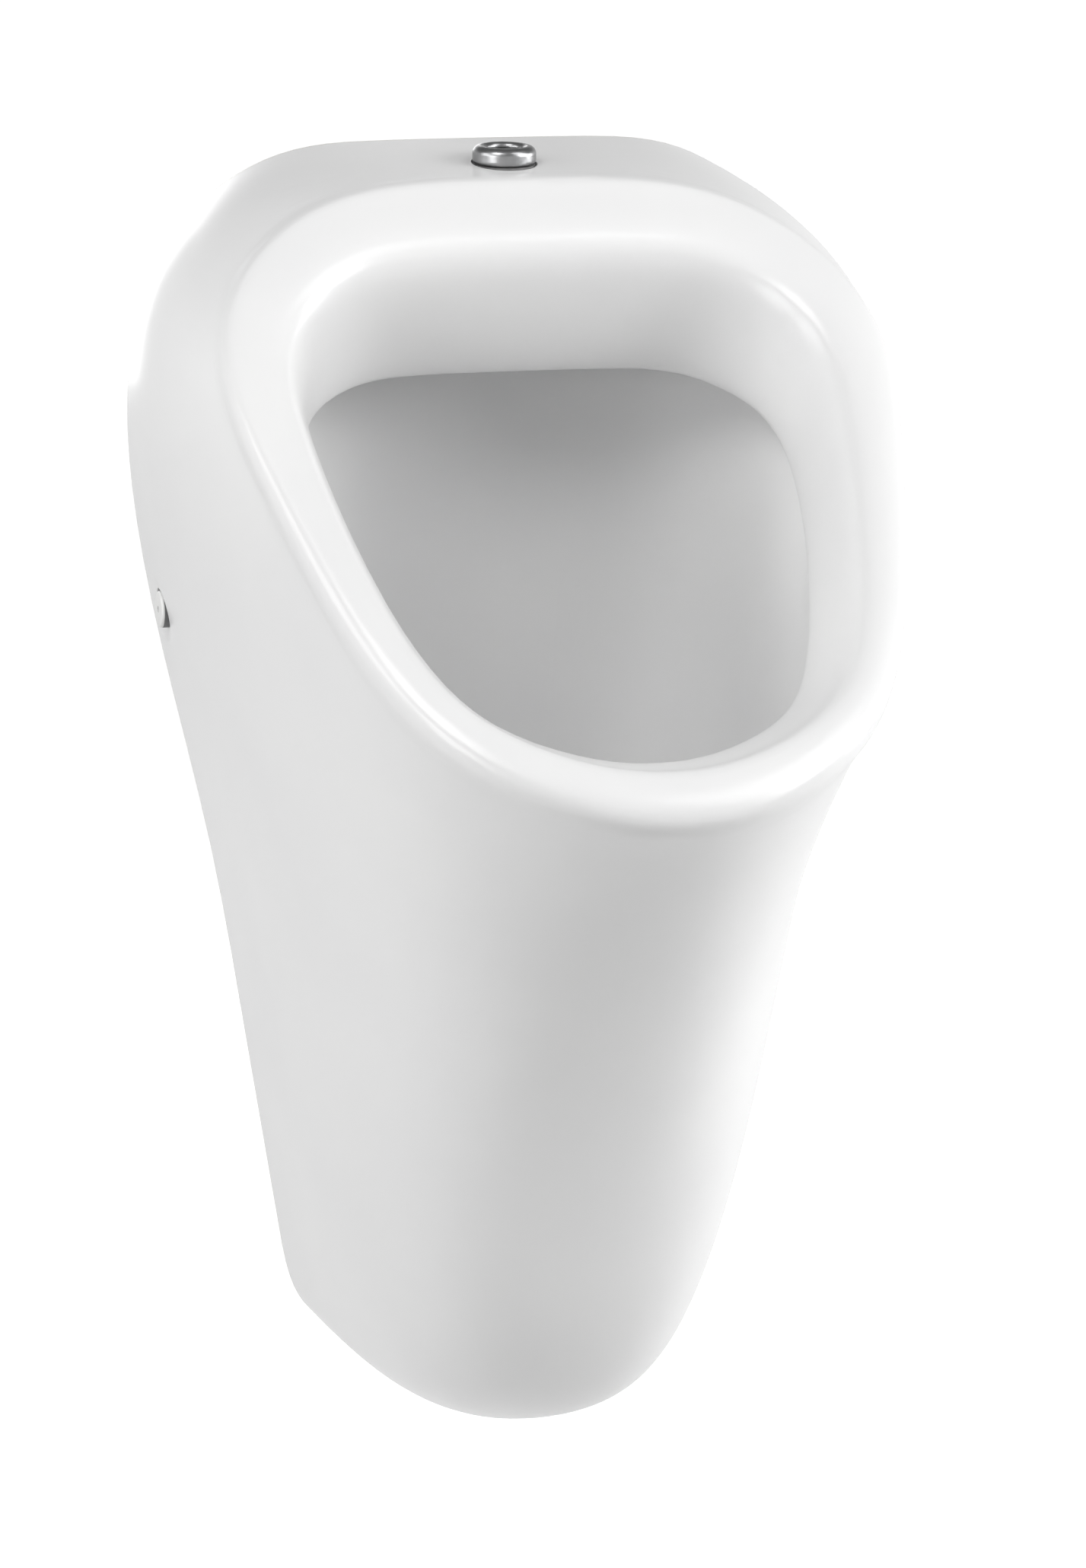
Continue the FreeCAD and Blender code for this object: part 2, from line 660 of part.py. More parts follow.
flank_x = flank_at(FIXING_HEIGHT)
flank_above = flank_at(FIXING_HEIGHT + FIXING_SEAT_RADIUS)
flank_below = flank_at(FIXING_HEIGHT - FIXING_SEAT_RADIUS)
flank_out = Vector(2 * FIXING_SEAT_RADIUS, 0, flank_below - flank_above).normalize()
seat_x = flank_x - FIXING_SEAT_DEPTH
leg_x = flank_x - GLAZED_WALL - BRACKET_GAP
wall_hole_x = leg_x - WALL_HOLE_INSET

inlet_seat_radius = COLLAR_RADIUS + INLET_SEAT_MARGIN
deck_reach = INLET_REACH + inlet_seat_radius
deck_line = (at(0, deck_reach, bowl_floor_height), at(0, deck_reach, CERAMIC_HEIGHT))
inlet_seat_z = skin_reach_of(*deck_line).ZMax - INLET_SEAT_DEPTH
inlet_place = Vector(0, -INLET_REACH, inlet_seat_z)

# Levels of the inlet's pieces, with its seat on the deck at zero
spud_low = INLET_WASHER_THICKNESS
spud_top = spud_low + COLLAR_HEIGHT
stem_end = spud_low - STEM_LENGTH
inlet_nut_top = -INLET_DECK_WALL - INLET_LOWER_WASHER_THICKNESS
spreader_top = stem_end + SPREADER_GRIP
spreader_low = spreader_top - SPREADER_HEIGHT

drain_place = at(0, DRAIN_REACH, bowl_floor_height)
outlet_place = drain_place + Vector(0, 0, outlet_level)


def ceramic_body():
    """Bowl, rim, deck and shroud in one fired piece, hollow behind, with its holes and seats."""
    body = ceramic_skin.cut(hollow)
    inlet_cut = rod(INLET_HOLE_RADIUS, -INLET_PAD_DEPTH, CUT_OVERRUN)
    inlet_seat = rod(inlet_seat_radius, 0, COLLAR_HEIGHT)
    inlet_pad = rod(INLET_PAD_RADIUS, -INLET_DECK_WALL - INLET_PAD_DEPTH, -INLET_DECK_WALL)
    spreader_room = rod(SPREADER_RADIUS + SPREADER_CLEARANCE, spreader_low - SPREADER_CLEARANCE,
                        spreader_top)
    waste_hole = rod(WASTE_HOLE_RADIUS, -FLOOR_WALL - CUT_OVERRUN, CUT_OVERRUN)
    waste_recess = rod(WASTE_FLANGE_RADIUS + WASTE_RECESS_CLEARANCE, -waste_recess_depth, CUT_OVERRUN)
    cuts = [moved(shape, inlet_place) for shape in (inlet_cut, inlet_seat, inlet_pad, spreader_room)]
    cuts += [moved(shape, drain_place) for shape in (waste_hole, waste_recess)]
    side_hole = rod(FLANK_HOLE_RADIUS, -GLAZED_WALL - BRACKET_GAP, CUT_OVERRUN)
    side_seat = rod(FIXING_SEAT_RADIUS, 0, FIXING_SEAT_DEPTH + CUT_OVERRUN)
    dish_middle = Vector(flank_x, -FIXING_REACH, 0) + flank_out * (FIXING_DISH_RADIUS - FIXING_DISH_DEPTH)
    right_cuts = [along_x(shape, Vector(seat_x, -FIXING_REACH, 0)) for shape in (side_hole, side_seat)]
    right_cuts.append(Part.makeSphere(FIXING_DISH_RADIUS, dish_middle))
    for shape in right_cuts:
        cuts += [shape, mirrored(shape)]
    for shape in cuts:
        body = body.cut(shape)
    return body


def inlet_spud():
    """Collar on the deck and the threaded stem through it, with a stepped bore for the flush pipe."""
    step = spud_top - PIPE_BORE_LENGTH
    spud = turned([(STEM_BORE_RADIUS, stem_end), (STEM_RADIUS, stem_end), (STEM_RADIUS, spud_low),
                   (COLLAR_RADIUS, spud_low), (COLLAR_RADIUS, spud_top), (PIPE_BORE_RADIUS, spud_top),
                   (PIPE_BORE_RADIUS, step), (STEM_BORE_RADIUS, step)])
    spud = round_edges(spud, COLLAR_ROUND, lambda edge: is_circle(edge, COLLAR_RADIUS, spud_top))
    spud = round_edges(spud, COLLAR_FOOT_ROUND, lambda edge: is_circle(edge, COLLAR_RADIUS, spud_low))
    return round_edges(spud, COLLAR_MOUTH_ROUND,
                       lambda edge: is_circle(edge, PIPE_BORE_RADIUS, spud_top))


def inlet_washers():
    bore = STEM_RADIUS + FIT_CLEARANCE
    upper = tube(COLLAR_RADIUS - INLET_WASHER_INSET, bore, 0, spud_low)
    lower = tube(INLET_LOWER_WASHER_RADIUS, bore, inlet_nut_top, -INLET_DECK_WALL)
    return upper, lower


def inlet_nut():
    low = inlet_nut_top - INLET_NUT_HEIGHT
    bore = rod(STEM_RADIUS + THREAD_CLEARANCE, low - CUT_OVERRUN, inlet_nut_top + CUT_OVERRUN)
    return chamfered_hexagon(INLET_NUT_FLATS, low, inlet_nut_top).cut(bore)


def water_spreader():
    """Closed nozzle on the stem's end, with slots all round that fan the flush out."""
    grip = STEM_RADIUS + THREAD_CLEARANCE
    inside = SPREADER_RADIUS - SPREADER_WALL
    floor = spreader_low + SPREADER_WALL
    nozzle = turned([(0, spreader_low), (SPREADER_RADIUS, spreader_low), (SPREADER_RADIUS, spreader_top),
                     (grip, spreader_top), (grip, stem_end), (inside, stem_end), (inside, floor),
                     (0, floor)])
    nozzle = round_edges(nozzle, SPREADER_ROUND,
                         lambda edge: is_circle(edge, SPREADER_RADIUS, spreader_low))
    slot_middle = (floor + stem_end) / 2
    slot = Part.makeBox(SPREADER_RADIUS + CUT_OVERRUN, SPREADER_SLOT_WIDTH, SPREADER_SLOT_HEIGHT,
                        Vector(0, -SPREADER_SLOT_WIDTH / 2, slot_middle - SPREADER_SLOT_HEIGHT / 2))
    for k in range(SPREADER_SLOTS):
        turned_slot = slot.copy()
        turned_slot.rotate(Vector(0, 0, 0), Vector(0, 0, 1), 360 * k / SPREADER_SLOTS)
        nozzle = nozzle.cut(turned_slot)
    return nozzle


# Side fixings are made about Z with the seat in the flank at zero, then turned to point along +X
fixing_place = Vector(seat_x, -FIXING_REACH, 0)
leg_level = leg_x - seat_x
nut_level = leg_level - BRACKET_PLATE - SQUARE_NUT_THICKNESS
cap_skirt_inside = SCREW_HEAD_RADIUS + FIT_CLEARANCE
side_cup_inside = cap_skirt_inside + CAP_SKIRT + RUNNING_CLEARANCE
side_cup_top = SIDE_WASHER_THICKNESS + SCREW_HEAD_HEIGHT + FIT_CLEARANCE


def side_washer():
    """Cup washer that holds the screw's head and carries the cap."""
    bore = SCREW_RADIUS + FIT_CLEARANCE
    return turned([(bore, 0), (CAP_RADIUS, 0), (CAP_RADIUS, side_cup_top), (side_cup_inside, side_cup_top),
                   (side_cup_inside, SIDE_WASHER_THICKNESS), (bore, SIDE_WASHER_THICKNESS)])


def side_screw():
    """Screw with a round head and a hexagon socket."""
    head_top = SIDE_WASHER_THICKNESS + SCREW_HEAD_HEIGHT
    tip = nut_level - SCREW_TIP_LENGTH
    screw = turned([(0, tip), (SCREW_RADIUS, tip), (SCREW_RADIUS, SIDE_WASHER_THICKNESS),
                    (SCREW_HEAD_RADIUS, SIDE_WASHER_THICKNESS), (SCREW_HEAD_RADIUS, head_top),
                    (0, head_top)])
    return screw.cut(hexagon(SCREW_SOCKET_FLATS, head_top - SCREW_SOCKET_DEPTH, head_top + CUT_OVERRUN))


def side_cap():
    """Rounded cap over the screw's head, with a small hole in its middle and a skirt in the cup washer."""
    top = side_cup_top + CAP_HEIGHT
    skirt_low = SIDE_WASHER_THICKNESS + FIT_CLEARANCE
    cap_skirt_outside = cap_skirt_inside + CAP_SKIRT
    cap = turned([(cap_skirt_inside, skirt_low), (cap_skirt_outside, skirt_low),
                  (cap_skirt_outside, side_cup_top), (CAP_RADIUS, side_cup_top), (CAP_RADIUS, top),
                  (CAP_DIMPLE_RADIUS, top), (CAP_DIMPLE_RADIUS, side_cup_top),
                  (cap_skirt_inside, side_cup_top)])
    return round_edges(cap, CAP_ROUND, lambda edge: is_circle(edge, CAP_RADIUS, top))


def side_bush():
    """Flanged sleeve between the screw and the ceramic, seated on the bracket's leg."""
    bore = SCREW_RADIUS + FIT_CLEARANCE
    sleeve = FLANK_HOLE_RADIUS - FIT_CLEARANCE
    flange_top = leg_level + BUSH_FLANGE_THICKNESS
    return turned([(bore, leg_level), (BUSH_FLANGE_RADIUS, leg_level), (BUSH_FLANGE_RADIUS, flange_top),
                   (sleeve, flange_top), (sleeve, -FIT_CLEARANCE), (bore, -FIT_CLEARANCE)])


def bracket_nut():
    half = SQUARE_NUT_SIDE / 2
    corner = Vector(-half, -half, nut_level)
    block = Part.makeBox(SQUARE_NUT_SIDE, SQUARE_NUT_SIDE, SQUARE_NUT_THICKNESS, corner)
    bore = SCREW_RADIUS + RUNNING_CLEARANCE
    return block.cut(rod(bore, nut_level - CUT_OVERRUN, leg_level))


def wall_bracket():
    """Angle bracket: a plate on the wall and a leg along the inside of the flank."""
    half_height = BRACKET_HEIGHT / 2
    plate_x = wall_hole_x - BRACKET_EDGE_MARGIN
    bend_x = leg_x - BRACKET_PLATE
    plate_corner = Vector(plate_x, -BRACKET_PLATE, -half_height)
    plate = Part.makeBox(leg_x - plate_x, BRACKET_PLATE, BRACKET_HEIGHT, plate_corner)
    leg_corner = Vector(bend_x, -BRACKET_LEG_REACH, -half_height)
    leg = Part.makeBox(BRACKET_PLATE, BRACKET_LEG_REACH, BRACKET_HEIGHT, leg_corner)
    bracket = plate.fuse(leg).removeSplitter()

    def in_bend(edge):
        box = edge.BoundBox
        at_bend = is_near(box.XMin, bend_x) and is_near(box.XMax, bend_x)
        return at_bend and is_near(box.YMin, -BRACKET_PLATE) and box.ZLength > half_height

    def at_leg_corner(edge):
        box = edge.BoundBox
        return is_near(box.YMax, -BRACKET_LEG_REACH) and box.XLength > BRACKET_PLATE / 2

    def at_plate_corner(edge):
        box = edge.BoundBox
        return is_near(box.XMax, plate_x) and box.YLength > BRACKET_PLATE / 2

    bracket = round_edges(bracket, BRACKET_BEND, in_bend)
    bracket = round_edges(bracket, BRACKET_CORNER, at_leg_corner)
    bracket = round_edges(bracket, BRACKET_CORNER, at_plate_corner)
    hole_low = -BRACKET_PLATE - CUT_OVERRUN
    wall_hole = rod(WALL_HOLE_RADIUS, hole_low, CUT_OVERRUN)
    screw_hole = rod(SCREW_RADIUS + FIT_CLEARANCE, hole_low, CUT_OVERRUN)
    bracket = bracket.cut(along_y(wall_hole, Vector(wall_hole_x, 0, 0)))
    return bracket.cut(along_x(screw_hole, Vector(leg_x, -FIXING_REACH, 0)))


def waste_flange():
    """Flanged waste with a seat for the strainer and a threaded tail."""
    seat = STRAINER_RADIUS + FIT_CLEARANCE
    under = -WASTE_FLANGE_THICKNESS
    flange = turned([(WASTE_BORE_RADIUS, tail_end), (WASTE_TAIL_RADIUS, tail_end),
                     (WASTE_TAIL_RADIUS, under), (WASTE_FLANGE_RADIUS, under),
                     (WASTE_FLANGE_RADIUS, 0), (seat, 0), (seat, -STRAINER_THICKNESS),
                     (WASTE_BORE_RADIUS, -STRAINER_THICKNESS)])
    return round_edges(flange, WASTE_FLANGE_ROUND, lambda edge: is_circle(edge, WASTE_FLANGE_RADIUS, 0))


def drain_strainer():
    """Lift-out strainer: a drilled disc with a skirt in the waste and a knob to lift it by."""
    skirt = WASTE_BORE_RADIUS - FIT_CLEARANCE
    inside = skirt - STRAINER_SKIRT_WALL
    under = -STRAINER_THICKNESS
    skirt_low = under - STRAINER_SKIRT
    disc = turned([(0, under), (inside, under), (inside, skirt_low), (skirt, skirt_low), (skirt, under),
                   (STRAINER_RADIUS, under), (STRAINER_RADIUS, 0), (STRAINER_KNOB_RADIUS, 0),
                   (STRAINER_KNOB_RADIUS, STRAINER_KNOB_HEIGHT), (0, STRAINER_KNOB_HEIGHT)])
    disc = round_edges(disc, STRAINER_KNOB_ROUND,
                       lambda edge: is_circle(edge, STRAINER_KNOB_RADIUS, STRAINER_KNOB_HEIGHT))
    hole = rod(STRAINER_HOLE_RADIUS, under - CUT_OVERRUN, CUT_OVERRUN)
    for ring in range(1, STRAINER_RINGS + 1):
        count = STRAINER_HOLES_IN_FIRST_RING * ring
        for k in range(count):
            angle = 2 * math.pi * k / count
            reach = STRAINER_RING_STEP * ring
            disc = disc.cut(moved(hole, Vector(reach * math.cos(angle), reach * math.sin(angle), 0)))
    return disc


def waste_seals():
    bore = WASTE_TAIL_RADIUS + FIT_CLEARANCE
    upper = tube(WASTE_FLANGE_RADIUS, bore, recess_floor, -WASTE_FLANGE_THICKNESS)
    lower = tube(WASTE_LOWER_SEAL_RADIUS, bore, waste_nut_top, floor_under)
    return upper, lower


def waste_nut():
    low = waste_nut_top - WASTE_NUT_HEIGHT
    bore = rod(WASTE_TAIL_RADIUS + THREAD_CLEARANCE, low - CUT_OVERRUN, waste_nut_top + CUT_OVERRUN)
    return chamfered_hexagon(WASTE_NUT_FLATS, low, waste_nut_top).cut(bore)


def union_nut():
    """Nut on the waste's tail whose shoulder lifts the trap's collar against the seal."""
    low = collar_low - UNION_NUT_SHOULDER
    top = tail_end + UNION_NUT_GRIP
    neck_hole = rod(NECK_RADIUS + THREAD_CLEARANCE, low - CUT_OVERRUN, top)
    thread = rod(WASTE_TAIL_RADIUS + THREAD_CLEARANCE, collar_low, top + CUT_OVERRUN)
    return chamfered_hexagon(UNION_NUT_FLATS, low, top).cut(neck_hole).cut(thread)


def union_seal():
    return tube(NECK_COLLAR_RADIUS, DIP_RADIUS, dip_top, tail_end)


def trap_dip_tube():
    low = cup_floor + DIP_FLOOR_GAP
    bore = DIP_RADIUS - DIP_WALL
    return turned([(bore, low), (DIP_RADIUS, low), (DIP_RADIUS, collar_top),
                   (NECK_COLLAR_RADIUS, collar_top), (NECK_COLLAR_RADIUS, dip_top), (bore, dip_top)])


def trap_body():
    """Bottle with a collared neck on top and a socketed stub towards the wall."""
    neck_bore = DIP_RADIUS + FIT_CLEARANCE
    bottle = turned([(neck_bore, collar_top), (NECK_COLLAR_RADIUS, collar_top),
                     (NECK_COLLAR_RADIUS, collar_low), (NECK_RADIUS, collar_low),
                     (NECK_RADIUS, bottle_top), (BOTTLE_RADIUS, bottle_top),
                     (BOTTLE_RADIUS, bottle_low), (bottle_inside, bottle_low),
                     (bottle_inside, bottle_top - BOTTLE_WALL), (neck_bore, bottle_top - BOTTLE_WALL)])
    bottle = round_edges(bottle, BOTTLE_TOP_ROUND, lambda edge: is_circle(edge, BOTTLE_RADIUS, bottle_top))
    middle = Vector(0, 0, outlet_level)
    inside = rod(bottle_inside, bottle_low, bottle_top - BOTTLE_WALL)
    stub = along_y(rod(OUTLET_STUB_RADIUS, 0, stub_end), middle).cut(inside)
    bore = along_y(rod(OUTLET_STUB_BORE_RADIUS, 0, stub_end + CUT_OVERRUN), middle)
    socket = rod(PIPE_RADIUS + FIT_CLEARANCE, stub_end - OUTLET_SOCKET_DEPTH, stub_end + CUT_OVERRUN)
    return bottle.fuse(stub).removeSplitter().cut(bore).cut(along_y(socket, middle))


def trap_cup():
    """Ribbed cup that screws on the bottle's lower end."""
    thread = BOTTLE_RADIUS + THREAD_CLEARANCE
    outside = thread + CUP_WALL
    cup = turned([(0, cup_low), (outside, cup_low), (outside, cup_top), (thread, cup_top),
                  (thread, cup_ledge), (bottle_inside, cup_ledge), (bottle_inside, cup_floor),
                  (0, cup_floor)])
    cup = round_edges(cup, CUP_ROUND, lambda edge: is_circle(edge, outside, cup_low))
    rib = rod(CUP_RIB_RADIUS, cup_low + CUP_ROUND, cup_top)
    for k in range(CUP_RIBS):
        angle = 2 * math.pi * k / CUP_RIBS
        cup = cup.fuse(moved(rib, Vector(outside * math.cos(angle), outside * math.sin(angle), 0)))
    return cup.cut(rod(thread, cup_ledge, cup_top + CUT_OVERRUN)).removeSplitter()


def trap_cup_seal():
    return tube(BOTTLE_RADIUS, bottle_inside, cup_ledge, bottle_low)


# The outlet is made about Z from the trap's axis, then turned to point along +Y, towards the wall
cone_end = stub_end + CONE_SEAL_LENGTH


def outlet_nut():
    low = stub_end - OUTLET_NUT_GRIP
    top = cone_end + OUTLET_NUT_END
    thread = rod(OUTLET_STUB_RADIUS + THREAD_CLEARANCE, low - CUT_OVERRUN, cone_end)
    pipe_hole = rod(PIPE_RADIUS + THREAD_CLEARANCE, low, top + CUT_OVERRUN)
    return chamfered_hexagon(OUTLET_NUT_FLATS, low, top).cut(thread).cut(pipe_hole)


def outlet_cone_seal():
    bore = PIPE_RADIUS + RUNNING_CLEARANCE
    narrow = PIPE_RADIUS + CONE_SEAL_THICKNESS * CONE_SEAL_SHARE
    return turned([(bore, stub_end), (PIPE_RADIUS + CONE_SEAL_THICKNESS, stub_end), (narrow, cone_end),
                   (bore, cone_end)])


def outlet_pipe():
    return tube(PIPE_RADIUS, PIPE_RADIUS - PIPE_WALL, stub_end - OUTLET_SOCKET_DEPTH, DRAIN_REACH)


save("ceramic_body", ceramic_body())

inlet_washer_upper, inlet_washer_lower = inlet_washers()
save("inlet_spud", moved(inlet_spud(), inlet_place))
save("inlet_washer", moved(inlet_washer_upper, inlet_place))
save("inlet_lower_washer", moved(inlet_washer_lower, inlet_place))
save("inlet_nut", moved(inlet_nut(), inlet_place))
save("water_spreader", moved(water_spreader(), inlet_place))

for name, make in (("side_washer", side_washer), ("side_screw", side_screw), ("side_cap", side_cap),
                   ("side_bush", side_bush), ("bracket_nut", bracket_nut)):
    save_pair(name, along_x(make(), fixing_place))
save_pair("wall_bracket", wall_bracket())

waste_seal_upper, waste_seal_lower = waste_seals()
save("waste_upper_seal", moved(waste_seal_upper, drain_place))
save("waste_lower_seal", moved(waste_seal_lower, drain_place))
for name, make in (("waste_flange", waste_flange), ("drain_strainer", drain_strainer),
                   ("waste_nut", waste_nut), ("union_nut", union_nut), ("union_seal", union_seal),
                   ("trap_dip_tube", trap_dip_tube), ("trap_body", trap_body),
                   ("trap_cup", trap_cup), ("trap_cup_seal", trap_cup_seal)):
    save(name, moved(make(), drain_place))
for name, make in (("outlet_nut", outlet_nut), ("outlet_cone_seal", outlet_cone_seal),
                   ("outlet_pipe", outlet_pipe)):
    save(name, along_y(make(), outlet_place))
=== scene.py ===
import json
import math

import bpy
from mathutils import Matrix, Vector


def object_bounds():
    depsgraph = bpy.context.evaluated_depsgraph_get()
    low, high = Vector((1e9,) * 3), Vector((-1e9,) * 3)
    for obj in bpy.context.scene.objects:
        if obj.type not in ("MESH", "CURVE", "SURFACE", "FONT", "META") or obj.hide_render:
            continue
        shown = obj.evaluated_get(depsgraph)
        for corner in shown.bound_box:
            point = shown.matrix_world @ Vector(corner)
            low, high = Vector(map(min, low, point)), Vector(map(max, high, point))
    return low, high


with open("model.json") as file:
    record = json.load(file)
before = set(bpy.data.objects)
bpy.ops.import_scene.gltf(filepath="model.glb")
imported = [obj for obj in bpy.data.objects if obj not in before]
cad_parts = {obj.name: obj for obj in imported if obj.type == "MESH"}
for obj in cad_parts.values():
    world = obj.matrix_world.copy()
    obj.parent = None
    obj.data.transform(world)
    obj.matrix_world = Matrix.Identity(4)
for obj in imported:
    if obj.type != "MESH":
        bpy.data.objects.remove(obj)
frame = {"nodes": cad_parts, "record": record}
cad_low, cad_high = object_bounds()
nodes = frame["nodes"]

# Camera: the photograph's viewing angle in degrees, lengths in metres, and the sensor in millimetres
CAMERA_AZIMUTH = 15.7
CAMERA_ELEVATION = 15.82
CAMERA_ROLL = 1.12
CAMERA_DISTANCE = 2.2
CAMERA_TARGET = Vector((-0.0007, -0.130, -0.0592))
IMAGE_HEIGHT_PIXELS = 2060
FOCAL_LENGTH_PIXELS = 6632
SENSOR_LONG_SIDE = 36.0

# Floor below the hanging object, in metres, with its paint and its glow near and far
FLOOR_DROP = 0.30
FLOOR_SIZE = 60.0
FLOOR_ALBEDO = 0.62
FLOOR_GLOW = 0.68
FLOOR_GLOW_FAR = 1.0
FLOOR_NEAR = 0.5
FLOOR_FAR = 3.5

# Surroundings: even light on the object, and the sky that mirrors see, by the upward part of a direction
AMBIENT = 0.12
SKY_OVERHEAD = 0.25
SKY_BRIGHT_BELOW = 0.05
SKY_DARK_ABOVE = 0.5
MIRROR_SHARE = 0.7

# Lamps, in metres, each with its direction from the object in degrees and its power in watts
LAMP_DISTANCE = 2.0
LAMP_SIZE = 0.9
LAMPS = {
    "left_key": (-50, 52, 13.8),
    "left_fill": (-60, 10, 10.5),
    "left_side": (-90, 24, 8.5),
    "right_key": (60, 24, 22),
    "right_high": (50, 52, 7.4),
    "right_side": (90, 8, 14),
    "back_fill": (180, 8, 6),
}

# Unglazed edge of the ceramic where it meets the wall, in metres
BARE_EDGE = 0.001

# Part of a noise's range that its colours and roughness are spread over
NOISE_LOW = 0.3
NOISE_HIGH = 0.7


def make_camera():
    """Camera at the photograph's angle, which looks at the target."""
    azimuth = math.radians(CAMERA_AZIMUTH)
    elevation = math.radians(CAMERA_ELEVATION)
    roll = math.radians(CAMERA_ROLL)
    back = Vector((-math.sin(azimuth) * math.cos(elevation),
                   -math.cos(azimuth) * math.cos(elevation),
                   math.sin(elevation)))
    level_right = Vector((math.cos(azimuth), -math.sin(azimuth), 0))
    level_up = back.cross(level_right)
    right = level_right * math.cos(roll) + level_up * math.sin(roll)
    up = level_up * math.cos(roll) - level_right * math.sin(roll)
    camera_data = bpy.data.cameras.new("camera")
    camera_data.sensor_width = SENSOR_LONG_SIDE
    camera_data.lens = SENSOR_LONG_SIDE * FOCAL_LENGTH_PIXELS / IMAGE_HEIGHT_PIXELS
    camera = bpy.data.objects.new("camera", camera_data)
    bpy.context.scene.collection.objects.link(camera)
    turn = Matrix((right, up, back)).transposed().to_4x4()
    camera.matrix_world = Matrix.Translation(CAMERA_TARGET + back * CAMERA_DISTANCE) @ turn
    bpy.context.scene.camera = camera


def make_lamp(name, azimuth, elevation, power):
    """Soft square lamp that points at the object's middle, from a direction given in degrees."""
    turn = math.radians(azimuth)
    rise = math.radians(elevation)
    towards = Vector((math.sin(turn) * math.cos(rise), -math.cos(turn) * math.cos(rise), math.sin(rise)))
    lamp_data = bpy.data.lights.new(name, "AREA")
    lamp_data.shape = "RECTANGLE"
    lamp_data.size = LAMP_SIZE
    lamp_data.size_y = LAMP_SIZE
    lamp_data.energy = power
    lamp = bpy.data.objects.new(name, lamp_data)
    bpy.context.scene.collection.objects.link(lamp)
    middle = (cad_low + cad_high) / 2
    lamp.location = middle + towards * LAMP_DISTANCE
    lamp.rotation_mode = "QUATERNION"
    lamp.rotation_quaternion = (-towards).to_track_quat("-Z", "Y")


def math_node(tree, operation, first, second):
    """Output of a node that works on two values, each a number or another node's output."""
    node = tree.nodes.new("ShaderNodeMath")
    node.operation = operation
    for socket, value in zip(node.inputs, (first, second)):
        if isinstance(value, (int, float)):
            socket.default_value = value
        else:
            tree.links.new(value, socket)
    return node.outputs[0]


def range_node(tree, value, start, end, low, high):
    """Output that goes smoothly from low to high as the value goes from start to end."""
    node = tree.nodes.new("ShaderNodeMapRange")
    node.interpolation_type = "SMOOTHSTEP"
    for socket, number in zip(("From Min", "From Max", "To Min", "To Max"), (start, end, low, high)):
        node.inputs[socket].default_value = number
    tree.links.new(value, node.inputs["Value"])
    return node.outputs["Result"]


def seen_directly(tree):
    """Node output that is 1 for rays from the camera and through glass, and less for rays from mirrors."""
    path = tree.nodes.new("ShaderNodeLightPath")
    mirrored = math_node(tree, "MULTIPLY", path.outputs["Is Glossy Ray"], MIRROR_SHARE)
    seen = math_node(tree, "MAXIMUM", path.outputs["Is Camera Ray"], mirrored)
    return math_node(tree, "MAXIMUM", seen, path.outputs["Is Transmission Ray"])


def make_world():
    """White surroundings, which mirrors see darker overhead, and a weaker even light on the object."""
    world = bpy.data.worlds.new("studio")
    bpy.context.scene.world = world
    world.use_nodes = True
    tree = world.node_tree
    tree.nodes.clear()
    ambient = tree.nodes.new("ShaderNodeBackground")
    ambient.inputs["Color"].default_value = (1, 1, 1, 1)
    ambient.inputs["Strength"].default_value = AMBIENT
    direction = tree.nodes.new("ShaderNodeSeparateXYZ")
    tree.links.new(tree.nodes.new("ShaderNodeTexCoord").outputs["Generated"], direction.inputs[0])
    sky = range_node(tree, direction.outputs["Z"], SKY_BRIGHT_BELOW, SKY_DARK_ABOVE, 1, SKY_OVERHEAD)
    camera_ray = tree.nodes.new("ShaderNodeLightPath").outputs["Is Camera Ray"]
    white = tree.nodes.new("ShaderNodeBackground")
    white.inputs["Color"].default_value = (1, 1, 1, 1)
    tree.links.new(math_node(tree, "MAXIMUM", sky, camera_ray), white.inputs["Strength"])
    mix = tree.nodes.new("ShaderNodeMixShader")
    out = tree.nodes.new("ShaderNodeOutputWorld")
    tree.links.new(seen_directly(tree), mix.inputs["Fac"])
    tree.links.new(ambient.outputs[0], mix.inputs[1])
    tree.links.new(white.outputs[0], mix.inputs[2])
    tree.links.new(mix.outputs[0], out.inputs["Surface"])


